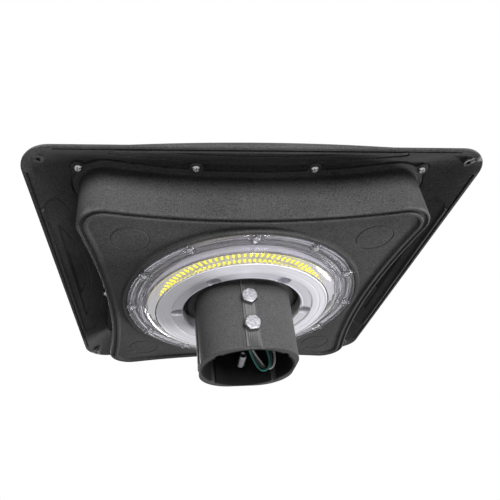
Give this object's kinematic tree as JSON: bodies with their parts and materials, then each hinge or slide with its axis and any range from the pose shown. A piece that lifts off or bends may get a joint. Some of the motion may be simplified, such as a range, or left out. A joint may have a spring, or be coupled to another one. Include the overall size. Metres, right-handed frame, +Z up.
{
  "type": "post top light",
  "caption": "Square post top area light with an arched cast canopy, a driver housing, a round clear lens over an LED ring and a slip fitter for a round pole.",
  "frame": {"origin": "centre of the fitter's mouth, where the pole goes in", "axes": "+Z up along the pole, -Y towards the side with the visible pair of clamp bolts"},
  "size_m": [0.342, 0.342, 0.1549],
  "materials": {
    "painted": "textured graphite powder coat",
    "zinc": "bright zinc",
    "steel": "stainless",
    "sheet": "galvanised sheet",
    "case": "satin",
    "seal": "matte silicone",
    "gland": "matte",
    "clear": "clear polycarbonate",
    "white_board": "white solder mask",
    "reflector": "white",
    "phosphor": "yellow phosphor",
    "blue_case": "potted case",
    "terminal": "moulded",
    "green_screw": "green",
    "wire_white": "insulation",
    "wire_black": "insulation",
    "wire_green": "insulation"
  },
  "bodies": {
    "root": {"canopy": "painted", "canopy_gasket": "seal", "housing": "painted", "housing_screws": "steel", "fitter": "painted", "fitter_gasket": "seal", "fitter_screws": "steel", "lens": "clear", "lens_gasket": "seal", "lens_screws": "steel", "inner_gasket": "seal", "inner_screws": "steel", "led_board": "white_board", "led_chips_outer": "phosphor", "led_chips_inner": "phosphor", "board_screws": "steel", "reflector_outer": "reflector", "reflector_inner": "reflector", "cable_gland": "gland", "gland_nut": "gland", "driver": "case", "driver_bracket": "sheet", "driver_screws": "steel", "bracket_screws": "steel", "surge_protector": "blue_case", "surge_strap": "sheet", "strap_screws": "steel", "terminal_block": "terminal", "terminal_screws": "steel", "ground_screw": "green_screw", "wire_white": "wire_white", "wire_black": "wire_black", "wire_green": "wire_green"},
    "clamp_bolt_front_lower": {"clamp_bolt_front_lower": "zinc"},
    "clamp_bolt_front_upper": {"clamp_bolt_front_upper": "zinc"},
    "clamp_bolt_back_lower": {"clamp_bolt_back_lower": "zinc"},
    "clamp_bolt_back_upper": {"clamp_bolt_back_upper": "zinc"}
  },
  "joints": [
    {"name": "front_lower_slide", "type": "slide", "parent": "root", "child": "clamp_bolt_front_lower", "axis": [0, -1, 0], "range_m": [0, 0.022]},
    {"name": "front_upper_slide", "type": "slide", "parent": "root", "child": "clamp_bolt_front_upper", "axis": [0, -1, 0], "range_m": [0, 0.022]},
    {"name": "back_lower_slide", "type": "slide", "parent": "root", "child": "clamp_bolt_back_lower", "axis": [0, 1, 0], "range_m": [0, 0.022]},
    {"name": "back_upper_slide", "type": "slide", "parent": "root", "child": "clamp_bolt_back_upper", "axis": [0, 1, 0], "range_m": [0, 0.022]}
  ]
}
